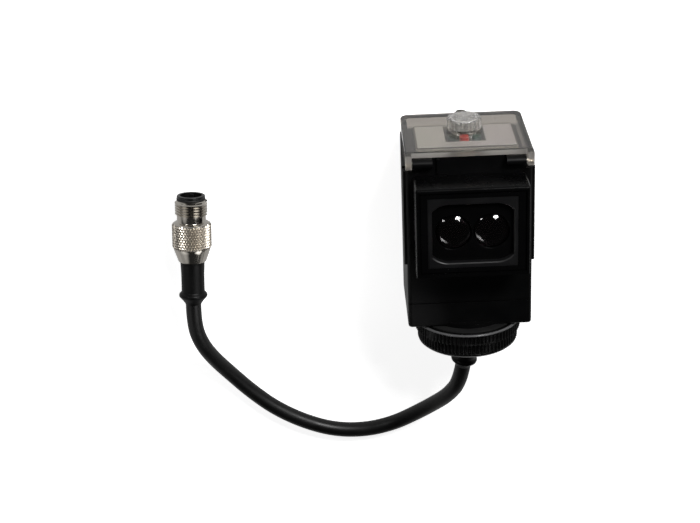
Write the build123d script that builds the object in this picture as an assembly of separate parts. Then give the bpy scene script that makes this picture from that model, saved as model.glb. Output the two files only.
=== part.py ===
"""Two-lens photoelectric proximity sensor on a 30 mm threaded base, with a short lead and M12 plug.

The sensor lies on its back. X runs across the body, Y runs up the body towards the clear cover,
Z runs from the back face to the lenses. Heights along Y are counted from the body's bottom face
and turned into the row's Y by up(). Everything is in millimetres.
"""
import os
from math import cos, pi, radians, sin, tan

from build123d import *

os.makedirs("parts", exist_ok=True)

# ---------------------------------------------------------------- driving dimensions
BOTTOM_Y = -23.7            # the body's bottom face in the row's frame

BODY_W = 44.2               # moulded body, across
BODY_D = 38.0               # moulded body, back face to front wall
BODY_H = 61.8               # body's top face above its bottom face
WALL = 2.0
SEAM_H = 9.3                # base cap's top edge
SEAM_GAP = 0.3              # flat seal in the seam

HEAD_W = 39.0               # lens head
HEAD_LOW, HEAD_HIGH = 26.8, 59.4
FRONT_Z = 54.0              # lens head's front plane, the overall depth
OPTICS_H = 42.2             # height of the optical axes
LENS_PITCH = 13.1
LENS_R, LENS_SAG, LENS_RIM = 6.25, 2.3, 1.8
LENS_SEAT = 48.5            # the lenses' flat backs
HOLDER_Z = 50.9             # the optics block's face round the lenses
BARREL_BACK = 35.4          # its back, on the optics board

HUB_Z = 25.5                # axis of the 30 mm base above the back face
HUB_R = 15.0                # M30 x 1.5
HUB_LOW = -11.2
M30_PITCH = 1.5

COVER_W, COVER_W_BACK = 44.2, 43.7      # clear cover, across its front and its back
COVER_TOP = 67.4            # its plate's front edge
COVER_RISE = 0.45           # the plate stands higher by this at its back
COVER_T = 2.1               # plate and skirts
COVER_BACK = 0.2            # the cover's back wall above the plane of the back face
SKIRT_LOW = 62.0
PLATE_FRONT_Z = 38.8
EAR_FRONT_Z = 42.5
HINGE_H, HINGE_Z = 63.3, 39.7
PIN_R = 0.8                 # hinge pins

SCREW_Z = 4.2               # captive cover screw, M3
SCREW_R = 1.5
SCREW_HEAD_R = 2.0
SCREW_LIFT = 1.0            # the screw stands this far out of its seat
DOME_X, DOME_Z = 0.3, 14.3  # indicator dome
DOME_R = 6.25
TRIM_Z = 18.6               # row of three adjusters
TRIM_PITCH = 4.3

CABLE_R = 2.9
PLUG_LENGTH = 41.8
PLUG_END = (-101.1, -23.1, 11.37)       # where the lead enters the plug's boot
PLUG_DROOP, PLUG_SWING = 7.84, 2.3      # the plug's nose points down and a little to the right

RELIEF_START = (0.15, -34.5, HUB_Z)     # where the strain relief begins to lean, inside the hub's end
RELIEF_LEAN = Vector(-0.13, -1.0, -0.21).normalized()
RELIEF_LENGTH = 12.9

# ---------------------------------------------------------------- small shared operations


def up(height):
    """Row Y of a height above the body's bottom face."""
    return BOTTOM_Y + height


def block(x, h, z):
    """Box between pairs of x, height and z."""
    size = (x[1] - x[0], h[1] - h[0], z[1] - z[0])
    centre = ((x[0] + x[1]) / 2, up((h[0] + h[1]) / 2), (z[0] + z[1]) / 2)
    return Pos(*centre) * Box(*size)


def both_sides(part):
    """The part and its mirror image across the body's middle plane."""
    return [part, mirror(part, Plane.YZ)]


def post(x, z, r, h):
    """Cylinder along Y between two heights."""
    length = h[1] - h[0]
    return Pos(x, up((h[0] + h[1]) / 2), z) * Rot(90, 0, 0) * Cylinder(r, length)


def turned(points):
    """Solid of revolution about local Z from (radius, z) corners."""
    outline = Polyline(*[(r, 0, z) for r, z in points], close=True)
    return revolve(make_face(outline), axis=Axis.Z)


def on_hub(part):
    """Puts a part turned about local Z on the hub's axis, local +Z pointing down the base."""
    return Plane(origin=(0, BOTTOM_Y, HUB_Z), x_dir=(1, 0, 0), z_dir=(0, -1, 0)).location * part


def body_outline(width, depth, back_r, front_r):
    """X-Z outline of the body: rounder corners at the back than at the front."""
    sketch = Pos(0, depth / 2) * Rectangle(width, depth)
    sketch = fillet(sketch.vertices().group_by(Axis.Y)[0], back_r)
    return fillet(sketch.vertices().group_by(Axis.Y)[-1], front_r)


def rise(sketch, h):
    """Extrudes an X-Z outline between two heights."""
    return extrude(Plane.XZ.offset(-up(h[1])) * sketch, h[1] - h[0])


def save(part, node):
    """Writes one node and prints its volume."""
    export_step(part, f"parts/{node}.step")
    print(f"{node:20s} {part.volume:10.1f} mm3")


# ---------------------------------------------------------------- housing
CORNER_SCREWS = [(x, z) for x in (-18.9, 18.9) for z in (4.2, 34.8)]
SHANK_R, HEAD_R = 1.1, 1.9  # base screws
INNER_X = BODY_W / 2 - WALL
PLAY = 0.05                 # between a seated piece and its seat
BOARD_Z, BOARD_T = 14.05, 1.6
OPTICS_X, OPTICS_LOW, OPTICS_HIGH = 15.6, 29.8, 56.0    # front opening for the optics block


def housing():
    foot = SEAM_H + SEAM_GAP
    shell = rise(body_outline(BODY_W, BODY_D, 2.5, 1.4), (foot, BODY_H))
    side = BODY_W / 2                                               # side pads grow proud to the front
    pad = Polyline((side - 0.5, 3.6), (side + 0.05, 3.6), (side + 1, 36.2), (side + 0.7, 36.9), (side - 0.5, 36.9),
                   close=True)
    shell += both_sides(rise(make_face(pad), (24.6, 60.6)))
    shell -= block((-INNER_X, INNER_X), (foot - 1, BODY_H - 2.4), (WALL, BODY_D - WALL))
    for x, z in CORNER_SCREWS:
        shell += post(x, z, 2.7, (foot, 20.0)) & block((-21.5, 21.5), (foot, 20.0), (0.5, 37.5))
        shell -= post(x, z, SHANK_R + 0.02, (foot - 1, 18.5))
    for z in (BOARD_Z - 0.85, BOARD_Z + BOARD_T + PLAY):            # rails that hold the circuit board
        shell += both_sides(block((18.7, INNER_X), (22.0, 58.0), (z, z + 0.8)))
    shell += post(0, SCREW_Z, 3.6, (54.0, BODY_H - 2.0))
    shell -= post(0, SCREW_Z, 2.32, (55.8, BODY_H + 1))
    optics = (OPTICS_LOW - 2 * PLAY, OPTICS_HIGH + 2 * PLAY)
    shell -= block((-OPTICS_X - 2 * PLAY, OPTICS_X + 2 * PLAY), optics, (BODY_D - WALL - 1, BODY_D + 1))
    shell -= block((-13.5, 13.5), (BODY_H - 3, BODY_H + 1), (11.2, 31.4))
    # front parapet with the two hinge knuckles and the notches that the cover's ears turn in
    shell += block((-19.7, 19.7), (BODY_H - 0.5, 65.0), (BODY_D - WALL, BODY_D))
    knuckle = block((12.8, 19.6), (HINGE_H - 1.75, 65.05), (BODY_D - 0.5, HINGE_Z))
    knuckle += Pos(16.2, up(HINGE_H), HINGE_Z) * Rot(0, 90, 0) * Cylinder(1.75, 6.8)
    knuckle -= Pos(17.4, up(HINGE_H), HINGE_Z) * Rot(0, 90, 0) * Cylinder(PIN_R + 0.01, 8.4)
    shell += both_sides(knuckle)
    shell += block((-11.2, -10.2), (59.5, 64.6), (BODY_D - 0.5, BODY_D + 0.9))
    notch = block((19.75, 24.0), (59.9, BODY_H + 1), (33.4, BODY_D + 1))
    for cut in both_sides(notch):
        shell -= cut
    return shell


def base_cap():
    cap = rise(body_outline(BODY_W, BODY_D, 2.5, 1.4), (0, SEAM_H))
    cap = fillet(cap.faces().sort_by(Axis.Y)[0].edges(), 0.9)
    cap -= block((-INNER_X, INNER_X), (2.6, SEAM_H + 1), (WALL, BODY_D - WALL))
    for x, z in CORNER_SCREWS:
        cap += post(x, z, 2.8, (2.4, SEAM_H)) & block((-21.5, 21.5), (0, SEAM_H), (0.5, 37.5))
    hub = turned([(0, -1.5), (HUB_R, -1.5), (HUB_R, -HUB_LOW - 0.9), (HUB_R - 0.9, -HUB_LOW), (0, -HUB_LOW)])
    cap += on_hub(hub)
    cap -= on_hub(turned([(0, -4), (10.0, -4), (10.0, -HUB_LOW - 2.6), (0, -HUB_LOW - 2.6)]))
    cap -= post(0, HUB_Z, 4.85, (HUB_LOW - 1, 0))
    for x, z in CORNER_SCREWS:
        cap -= post(x, z, SHANK_R + 0.1, (-1, SEAM_H + 1)) + post(x, z, HEAD_R + 0.1, (-1, 2.7))
    return cap


def base_seal():
    outer = body_outline(BODY_W - 0.8, BODY_D - 0.8, 2.1, 1.2)
    inner = body_outline(2 * INNER_X, BODY_D - 2 * WALL, 1.0, 1.0)
    ring = rise(Pos(0, 0.4) * outer, (SEAM_H, SEAM_H + SEAM_GAP))
    ring -= rise(Pos(0, WALL) * inner, (SEAM_H - 1, SEAM_H + 1))
    for x, z in CORNER_SCREWS:
        ring -= post(x, z, SHANK_R + 0.1, (SEAM_H - 1, SEAM_H + 1))
    return ring


def base_screws():
    """Four pan-head screws, up through the cap into the housing's corner bosses."""
    screws = []
    for x, z in CORNER_SCREWS:
        screw = post(x, z, HEAD_R, (0.9, 2.7)) + post(x, z, SHANK_R, (2.7, 17.5))
        screw -= block((x - 1.3, x + 1.3), (0, 1.7), (z - 0.3, z + 0.3))
        screws.append(screw - block((x - 0.3, x + 0.3), (0, 1.7), (z - 1.3, z + 1.3)))
    return screws


def base_gasket():
    return on_hub(turned([(HUB_R + 0.02, 0), (17.6, 0), (17.6, 0.6), (HUB_R + 0.02, 0.6)]))


# ---------------------------------------------------------------- base ring and nut
RING_R, NUT_R = 19.3, 18.3
GRIP_RIBS = 80


def ribbed_outline(root_r, tip_r):
    """Outline of a grip: straight ribs with flat tops round a circle."""
    points = []
    for i in range(GRIP_RIBS):
        for r, share in ((root_r, -0.34), (tip_r, -0.2), (tip_r, 0.2), (root_r, 0.34)):
            angle = 2 * pi * (i + share) / GRIP_RIBS
            points.append((r * cos(angle), r * sin(angle)))
    return make_face(Polyline(*points, close=True))


def grip(root_r, tip_r, h):
    """Ribbed band on the hub's axis between two heights."""
    return on_hub(Pos(0, 0, -h[0]) * extrude(ribbed_outline(root_r, tip_r), h[0] - h[1]))


def lock_ring():
    """Wide ring: a smooth collar with an eased edge towards the body and a ribbed band below it."""
    collar = turned([(16.0, 0.7), (18.9, 0.7), (RING_R, 1.1), (RING_R, 1.5), (16.0, 1.5)])
    ring = grip(RING_R - 0.7, RING_R, (-1.4, -5.0)) + on_hub(collar)
    return ring - post(0, HUB_Z, HUB_R + 0.1, (-6, 1))


def mounting_nut():
    """Nut: a ribbed band above a smooth foot that tapers in."""
    foot = turned([(16.0, 9.0), (NUT_R - 0.3, 9.0), (NUT_R - 0.3, 9.7), (NUT_R - 1.2, 10.5), (16.0, 10.5)])
    nut = grip(NUT_R - 0.6, NUT_R, (-5.1, -9.1)) + on_hub(foot)
    return nut - post(0, HUB_Z, HUB_R + 0.08, (-12, 0))


# ---------------------------------------------------------------- lens head and optics
def window_outline(grow=0.0):
    """Opening of the window frame: straight sides, top and bottom joined by shallow corner arcs."""
    half_w, half_h, run, drop = 14.0 + grow, 10.75 + grow, 5.8, 2.6
    radius = (run ** 2 + drop ** 2) / (2 * drop)
    top = [(-half_w, half_h - drop), (-half_w + run, half_h), (half_w - run, half_h), (half_w, half_h - drop)]
    low = [(x, -y) for x, y in reversed(top)]
    edges = [
        Line(low[-1], top[0]), RadiusArc(top[0], top[1], radius), Line(top[1], top[2]),
        RadiusArc(top[2], top[3], radius), Line(top[3], low[0]), RadiusArc(low[0], low[1], radius),
        Line(low[1], low[2]), RadiusArc(low[2], low[3], radius),
    ]
    return Pos(0, up(OPTICS_H + 0.25)) * make_face(edges)


def lens_head():
    """Deep rectangular bezel with a bowed hood, a thin groove round its face and an open middle."""
    back = BODY_D + 0.6
    side = [
        Line((back, HEAD_LOW), (FRONT_Z, HEAD_LOW)),
        Line((FRONT_Z, HEAD_LOW), (FRONT_Z, HEAD_HIGH - 1.0)),
        RadiusArc((FRONT_Z, HEAD_HIGH - 1.0), (FRONT_Z - 1.0, HEAD_HIGH), -1.0),
        RadiusArc((FRONT_Z - 1.0, HEAD_HIGH), (back, HEAD_HIGH - 0.9), -60),
        Line((back, HEAD_HIGH - 0.9), (back, HEAD_LOW)),
    ]
    profile = Plane(origin=(-HEAD_W / 2, BOTTOM_Y, 0), x_dir=(0, 0, 1), z_dir=(-1, 0, 0)) * make_face(side)
    head = extrude(profile, -HEAD_W)
    front = head.faces().sort_by(Axis.Z)[-1]
    head = fillet(front.edges().filter_by(Axis.Y), 0.7)
    half, low, high = HEAD_W / 2, HEAD_LOW, HEAD_HIGH
    groove = block((-half + 1.1, half - 1.1), (low + 1.1, high - 1.5), (FRONT_Z - 0.8, FRONT_Z + 1))
    groove -= block((-half + 1.7, half - 1.7), (low + 1.7, high - 2.1), (FRONT_Z - 1, FRONT_Z + 2))
    head -= groove
    head -= block((-half + 1.7, half - 1.7), (low + 1.7, high - 2.1), (FRONT_Z - 0.35, FRONT_Z + 1))
    head -= block((-OPTICS_X, OPTICS_X), (OPTICS_LOW, OPTICS_HIGH), (back - 1, FRONT_Z + 1))
    return head


def head_gasket():
    ring = block((-18.9, 18.9), (HEAD_LOW + 0.6, HEAD_HIGH - 1.4), (BODY_D, BODY_D + 0.6))
    return ring - block((-OPTICS_X, OPTICS_X), (OPTICS_LOW, OPTICS_HIGH), (BODY_D - 1, BODY_D + 1))


def window_frame():
    """Inner bezel: a flat frame with a cut-cornered opening, its edge broken by a narrow flare."""
    front = FRONT_Z - 0.8
    frame = block((-OPTICS_X + PLAY, OPTICS_X - PLAY), (OPTICS_LOW + PLAY, OPTICS_HIGH - PLAY), (46.0, front))
    frame -= extrude(Plane.XY.offset(45.0) * window_outline(), 10)
    low, high = Plane.XY.offset(front - 0.35), Plane.XY.offset(front + 0.05)
    return frame - loft([low * window_outline(), high * window_outline(0.4)])


def lens_holder():
    """Optics block: two lens seats, two tapering light barrels and the wall between them."""
    holder = block((-OPTICS_X + PLAY, OPTICS_X - PLAY), (OPTICS_LOW + PLAY, OPTICS_HIGH - PLAY), (BARREL_BACK, 45.95))
    holder += extrude(Plane.XY.offset(45.0) * window_outline(-PLAY), HOLDER_Z - 45.0)
    seat_r = LENS_R + 0.02
    for x in (-LENS_PITCH / 2, LENS_PITCH / 2):
        barrel = turned([(0, 34), (3.2, 34), (3.2, 36), (5.7, LENS_SEAT), (seat_r, LENS_SEAT),
                         (seat_r, HOLDER_Z - 0.4), (seat_r + 0.15, HOLDER_Z + 0.1), (0, HOLDER_Z + 0.1)])
        holder -= Pos(x, up(OPTICS_H), 0) * barrel
    return holder


def lens(x):
    """Plano-convex acrylic lens with a short cylindrical rim."""
    ball_r = (LENS_R ** 2 + LENS_SAG ** 2) / (2 * LENS_SAG)
    crest = LENS_SEAT + LENS_RIM + LENS_SAG
    rod = Pos(x, up(OPTICS_H), LENS_SEAT) * Cylinder(LENS_R, 10, align=(Align.CENTER, Align.CENTER, Align.MIN))
    return rod & (Pos(x, up(OPTICS_H), crest - ball_r) * Sphere(ball_r))


def optics_board():
    board = block((-14.5, 14.5), (31.5, 53.5), (BARREL_BACK - BOARD_T, BARREL_BACK))
    for x in (-LENS_PITCH / 2, LENS_PITCH / 2):
        for lead in (-1.27, 1.27):
            board -= Pos(x + lead, up(OPTICS_H), 34.6) * Cylinder(0.45, 3)
    return board


def light_part(x, body_r, height, crown):
    """Emitter or receiver: a round package with a tapered crown, on two leads through the board."""
    seat = BARREL_BACK
    package = turned([(0, seat), (body_r, seat), (body_r, seat + height),
                      (0.45 * body_r, seat + height + crown), (0, seat + height + crown)])
    package = Pos(x, up(OPTICS_H), 0) * package
    for lead in (-1.27, 1.27):
        package += Pos(x + lead, up(OPTICS_H), seat - 1.2) * Cylinder(0.25, 2.6)
    return package


# ---------------------------------------------------------------- circuit board inside the body
def main_board():
    return block((-19.6, 19.6), (22.5, 53.8), (BOARD_Z, BOARD_Z + BOARD_T))


def board_parts():
    """Relay-sized driver block, two capacitors and two chips on the main board's front."""
    front = BOARD_Z + BOARD_T
    can = Cylinder(3.1, 9.0, align=(Align.CENTER, Align.CENTER, Align.MIN))
    return [
        block((-12, 2), (25, 37), (front, front + 8.5)),
        Pos(8.5, up(29), front) * can,
        Pos(15.0, up(29), front) * can,
        block((5, 15), (38, 48), (front, front + 1.8)),
        block((-13, -5), (42, 50), (front, front + 1.8)),
    ]


# ---------------------------------------------------------------- control deck under the clear cover
DECK_X, DECK_BACK, DECK_FRONT = 17.8, 8.6, 33.6
DECK_TOP = 64.5
POCKET_X, POCKET_BACK, POCKET_FRONT, POCKET_FLOOR = 7.1, 10.4, 26.4, 60.8
LEDS = [(-2.5, 14.9), (3.1, 14.9), (0.3, 12.1)]
TRIMMERS = [(i * TRIM_PITCH, TRIM_Z) for i in (-1, 0, 1)]
GASKET_TOP = BODY_H + 0.5


def control_deck():
    """Light plate with a sunk pocket for the adjusters and the indicator lamps."""
    deck = block((-DECK_X, DECK_X), (GASKET_TOP, DECK_TOP), (DECK_BACK, DECK_FRONT))
    deck = fillet(deck.edges().filter_by(Axis.Y), 1.0)
    wall = 1.1
    well = block((-POCKET_X - wall, POCKET_X + wall), (POCKET_FLOOR - 1.2, GASKET_TOP + 0.5),
                 (max(POCKET_BACK - wall, 11.3), POCKET_FRONT + wall))
    deck += well
    deck -= block((-POCKET_X, POCKET_X), (GASKET_TOP, DECK_TOP + 1), (POCKET_BACK, POCKET_FRONT))
    deck -= block((-POCKET_X, POCKET_X), (POCKET_FLOOR, DECK_TOP + 1), (12.4, POCKET_FRONT))
    for x, z in TRIMMERS:
        deck -= post(x, z, 1.0, (POCKET_FLOOR - 3, POCKET_FLOOR + 1))
    for x, z in LEDS:
        for lead in (-0.9, 0.9):
            deck -= post(x + lead, z, 0.35, (POCKET_FLOOR - 3, DECK_TOP))
    return deck


def deck_gasket():
    ring = block((-16.8, 16.8), (BODY_H, GASKET_TOP), (9.4, 32.8))
    return ring - block((-13.8, 13.8), (BODY_H - 1, GASKET_TOP + 1), (11.2, 31.2))


def label_plate():
    """Bare plate on the deck round the pocket."""
    plate = block((-17.6, 17.6), (DECK_TOP, DECK_TOP + 0.3), (9.9, 31.8))
    plate = fillet(plate.edges().filter_by(Axis.Y), 0.8)
    return plate - block((-POCKET_X, POCKET_X), (DECK_TOP - 1, DECK_TOP + 1), (POCKET_BACK, POCKET_FRONT))


def control_board():
    board = block((-13.0, 13.0), (54.4, 56.0), (11.6, 31.0))
    return board - block((-4.0, 4.0), (54, 57), (11.0, 11.9))


def trimmer_bodies():
    """Three small adjuster bodies side by side, each with a well for its rotor's stem."""
    bodies = []
    for x, z in TRIMMERS:
        body = block((x - 1.85, x + 1.85), (56.0, POCKET_FLOOR - 1.25), (z - 3.0, z + 3.0))
        bodies.append(body - post(x, z, 1.05, (58.0, 60.5)))
    return bodies


def rotor(index, slot_w, slot_l):
    """Adjuster rotor: a slotted head in the pocket on a stem through its floor."""
    x, z = TRIMMERS[index]
    part = post(x, z, 1.7, (POCKET_FLOOR + 0.1, 64.0)) + post(x, z, 0.94, (58.4, POCKET_FLOOR + 0.3))
    part = chamfer(part.faces().sort_by(Axis.Y)[-1].edges(), 0.25)
    return part - block((x - slot_l / 2, x + slot_l / 2), (63.2, 65), (z - slot_w / 2, z + slot_w / 2))


def indicator_leds():
    lamps = []
    for x, z in LEDS:
        lamp = chamfer(post(x, z, 1.5, (63.4, 69.4)).faces().sort_by(Axis.Y)[-1].edges(), 0.6)
        for lead in (-0.9, 0.9):
            lamp += post(x + lead, z, 0.25, (56.0, 63.6))
        lamps.append(lamp)
    return lamps


def cover_insert():
    return post(0, SCREW_Z, 2.3, (56.0, BODY_H)) - post(0, SCREW_Z, SCREW_R + 0.05, (55, BODY_H + 1))


# ---------------------------------------------------------------- clear cover
def cover_outline(inset, front):
    """X-Z outline of the cover, its back corners rounded, narrowing a little to the back."""
    back, half_back, half_front = COVER_BACK + inset, COVER_W_BACK / 2 - inset, COVER_W / 2 - inset
    corners = [(-half_back, back), (half_back, back), (half_front, front), (-half_front, front)]
    outline = make_face(Polyline(*corners, close=True))
    return fillet(outline.vertices().group_by(Axis.Y)[0], 3.0 - 0.8 * inset)


def clear_cover():
    """One-piece clear moulding: plate, three skirts, two hinge ears and the screw's boss."""
    half = COVER_W / 2
    cover = rise(cover_outline(0, PLATE_FRONT_Z), (SKIRT_LOW, COVER_TOP + COVER_RISE))
    side = Polyline((0, SKIRT_LOW - 1), (0, COVER_TOP + COVER_RISE), (PLATE_FRONT_Z, COVER_TOP),
                    (45, COVER_TOP), (45, SKIRT_LOW - 1), close=True)
    profile = Plane(origin=(-30, BOTTOM_Y, 0), x_dir=(0, 0, 1), z_dir=(-1, 0, 0)) * make_face(side)
    cover &= extrude(profile, -60)
    cover = fillet(cover.faces().sort_by(Axis.Y)[-1].edges(), 0.45)
    cover -= rise(cover_outline(COVER_T, 60), (SKIRT_LOW - 1, COVER_TOP - COVER_T))
    ear = block((half - COVER_T, half), (SKIRT_LOW, COVER_TOP), (PLATE_FRONT_Z - 0.5, EAR_FRONT_Z))
    low_front = ear.edges().filter_by(Axis.X).group_by(Axis.Z)[-1].sort_by(Axis.Y)
    ear = fillet(low_front[0], 1.3)
    cover += both_sides(chamfer(ear.faces().sort_by(Axis.Y)[-1].edges(), 0.25))
    cover += post(0, SCREW_Z, 3.3, (62.4, COVER_TOP - 0.5))
    cover -= post(0, SCREW_Z, SCREW_R + 0.1, (60, COVER_TOP + 1))
    cover -= post(0, SCREW_Z, SCREW_HEAD_R + 0.25, (COVER_TOP - 0.05, COVER_TOP + 1))
    cover -= post(0, SCREW_Z, 2.65, (60, 64.3))
    cover -= post(DOME_X, DOME_Z, DOME_R - 0.3, (60, COVER_TOP + 1))
    cover -= post(DOME_X, DOME_Z, DOME_R + PLAY, (COVER_TOP, COVER_TOP + 1))
    for sign in (-1, 1):
        cover -= Pos(sign * (half - 1), up(HINGE_H), HINGE_Z) * Rot(0, 90, 0) * Cylinder(PIN_R + 0.05, 4)
    return cover


def indicator_dome():
    """Clear cap with a rounded top edge, pressed into the cover over the lamps."""
    cap = post(DOME_X, DOME_Z, DOME_R, (COVER_TOP, 71.4))
    cap = fillet(cap.faces().sort_by(Axis.Y)[-1].edges(), 1.3)
    cap += post(DOME_X, DOME_Z, DOME_R - 0.32, (65.5, COVER_TOP + 0.2))
    return cap - post(DOME_X, DOME_Z, 5.0, (65, 70.3))


def hinge_pins():
    pin = Pos(17.6, up(HINGE_H), HINGE_Z) * Rot(0, 90, 0) * Cylinder(PIN_R, 8.6)
    return both_sides(pin)




def cover_screw():
    """Captive M3 slotted screw, drawn out of its insert, with a groove for the retaining clip."""
    seat = COVER_TOP + SCREW_LIFT
    screw = post(0, SCREW_Z, SCREW_R, (62.0, seat + 0.3)) + post(0, SCREW_Z, SCREW_HEAD_R, (seat, seat + 1.3))
    screw = chamfer(screw.faces().sort_by(Axis.Y)[-1].edges(), 0.35)
    groove = post(0, SCREW_Z, 3, (63.4, 64.1)) - post(0, SCREW_Z, 1.15, (63, 65))
    screw -= groove
    return screw - block((-3, 3), (seat + 0.6, seat + 3), (SCREW_Z - 0.35, SCREW_Z + 0.35))


def screw_clip():
    """Open retaining clip in the screw's groove."""
    ring = post(0, SCREW_Z, 2.4, (63.5, 64.0)) - post(0, SCREW_Z, 1.2, (63, 65))
    return ring - block((-0.7, 0.7), (63, 65), (SCREW_Z, SCREW_Z + 4))


# ---------------------------------------------------------------- strain relief, lead and plug
def strain_relief():
    """Moulded relief: a flanged foot in the hub's end and a boot that leans with the lead."""
    foot = post(0, HUB_Z, 6.6, (-8.6, -6.6)) + post(0, HUB_Z, 4.8, (HUB_LOW, -8.6))
    boot = turned([
        (0, -1.2), (4.3, -1.2), (4.5, 1.2), (4.15, 9.0), (4.7, 9.5), (4.85, 9.9), (4.7, 10.4), (4.0, 11.0),
        (CABLE_R + 0.05, RELIEF_LENGTH), (0, RELIEF_LENGTH),
    ])
    lean = Plane(origin=RELIEF_START, x_dir=(1, 0, 0), z_dir=RELIEF_LEAN)
    return foot + lean.location * boot


LEAD_POINTS = [
    tuple(Vector(*RELIEF_START) + RELIEF_LEAN * RELIEF_LENGTH),
    tuple(Vector(*RELIEF_START) + RELIEF_LEAN * (RELIEF_LENGTH + 8.4)),
    (-6.6, -63.1, 16.9), (-12.3, -70.0, 11.3), (-19.2, -76.4, 6.7),
    (-27.6, -82.1, 3.7), (-38.4, -84.9, 2.9), (-50.4, -84.3, 2.9), (-62.0, -80.2, 2.9),
    (-73.2, -73.7, 2.9), (-82.4, -65.5, 2.9), (-89.7, -56.6, 4.5), (-95.0, -48.6, 7.9),
    (-99.0, -40.4, 11.5), (-101.44, -31.51, 12.53), PLUG_END,
]
SPREAD = 0.45               # share of the shorter run that each arc takes


def lead_radii(points):
    """The largest arc that each corner's two runs allow."""
    radii = []
    for before, corner, after in zip(points, points[1:], points[2:]):
        run_in, run_out = Vector(*corner) - Vector(*before), Vector(*after) - Vector(*corner)
        turn = radians(run_in.get_angle(run_out))
        radii.append(SPREAD * min(run_in.length, run_out.length) / tan(turn / 2))
    return radii


def cable():
    radii = lead_radii(LEAD_POINTS)
    path = FilletPolyline(*LEAD_POINTS, radius=radii)
    start = Plane(origin=path @ 0, z_dir=path % 0)
    tube = sweep(start * Circle(CABLE_R), path=path)
    expected = pi * CABLE_R ** 2 * path.length
    print("lead radii", [round(r, 1) for r in radii])
    print(f"lead length {path.length:.1f} mm, volume {tube.volume:.0f} against {expected:.0f}")
    return tube


def plug_axis():
    """Frame at the plug's nose, local +Z pointing out of it."""
    droop, swing = radians(PLUG_DROOP), radians(PLUG_SWING)
    way = Vector(sin(swing) * cos(droop), cos(swing) * cos(droop), -sin(droop))
    nose = Vector(*PLUG_END) + way * PLUG_LENGTH
    return Plane(origin=nose, x_dir=(cos(swing), -sin(swing), 0), z_dir=way)


def on_plug(part):
    return plug_axis().location * part


def plug_turned(stations):
    """Turned plug part from (distance behind the nose, radius) corners."""
    return on_plug(turned([(r, -s) for s, r in stations]))


THREAD_FRONT, THREAD_BACK = 1.8, 7.6
KNURL_FRONT, KNURL_BACK, KNURL_R = 10.2, 19.8, 7.2
CONE_BACK = 25.0
SLEEVE_BORE, STEM_R, STEM_BACK = 4.66, 3.4, 27.6


def coupling_screw():
    """Nickelled sleeve: M12 x 1 thread, neck, grip and cone, free to turn on the insert."""
    return plug_turned([
        (THREAD_FRONT, SLEEVE_BORE), (THREAD_FRONT, 5.6), (THREAD_FRONT + 0.4, 6.0), (THREAD_BACK, 6.0),
        (THREAD_BACK, 5.35), (KNURL_FRONT - 0.4, 5.35), (KNURL_FRONT, 6.3), (KNURL_FRONT + 0.9, KNURL_R),
        (KNURL_BACK - 0.4, KNURL_R), (KNURL_BACK, 6.85), (KNURL_BACK + 0.6, 6.75), (CONE_BACK, 5.2),
        (CONE_BACK, SLEEVE_BORE),
    ])


PIN_POSITIONS = [(2.0, 2.0), (2.0, -2.0), (-2.0, -2.0), (-2.0, 2.0)]


def plug_insert():
    """Contact carrier: cup with a key rib at the nose and a stem through the sleeve."""
    carrier = turned([
        (0, -8.6), (4.05, -8.6), (4.05, 0), (5.0, 0), (5.2, -0.2), (5.2, -0.9), (4.55, -0.9),
        (4.55, -CONE_BACK), (STEM_R, -CONE_BACK), (STEM_R, -STEM_BACK), (0, -STEM_BACK),
    ])
    carrier += Pos(0, 3.85, -4.6) * Box(1.3, 0.8, 8.0)
    for x, y in PIN_POSITIONS:
        carrier -= Pos(x, y, -11) * Cylinder(0.52, 6)
    return on_plug(carrier)


def contact_pins():
    pins = []
    for x, y in PIN_POSITIONS:
        pin = Pos(x, y, -8.2) * Cylinder(0.5, 11.0)
        pins.append(on_plug(chamfer(pin.faces().sort_by(Axis.Z)[-1].edges(), 0.2)))
    return pins


def plug_o_ring():
    return plug_turned([(0.95, 4.57), (0.95, 5.1), (1.15, 5.3), (1.55, 5.3), (1.75, 5.1), (1.75, 4.57)])


def plug_boot():
    """Moulded boot: barrel, flange and a short taper onto the lead."""
    return plug_turned([
        (CONE_BACK + 0.1, STEM_R + PLAY), (CONE_BACK + 0.1, 4.5), (30.0, 4.3), (37.2, 4.3), (37.5, 5.0), (37.9, 5.25),
        (38.7, 5.25), (39.2, 4.8), (40.2, 3.9), (PLUG_LENGTH, CABLE_R + 0.05), (PLUG_LENGTH, 0),
        (STEM_BACK + 0.1, 0), (STEM_BACK + 0.1, STEM_R + PLAY),
    ])


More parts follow.
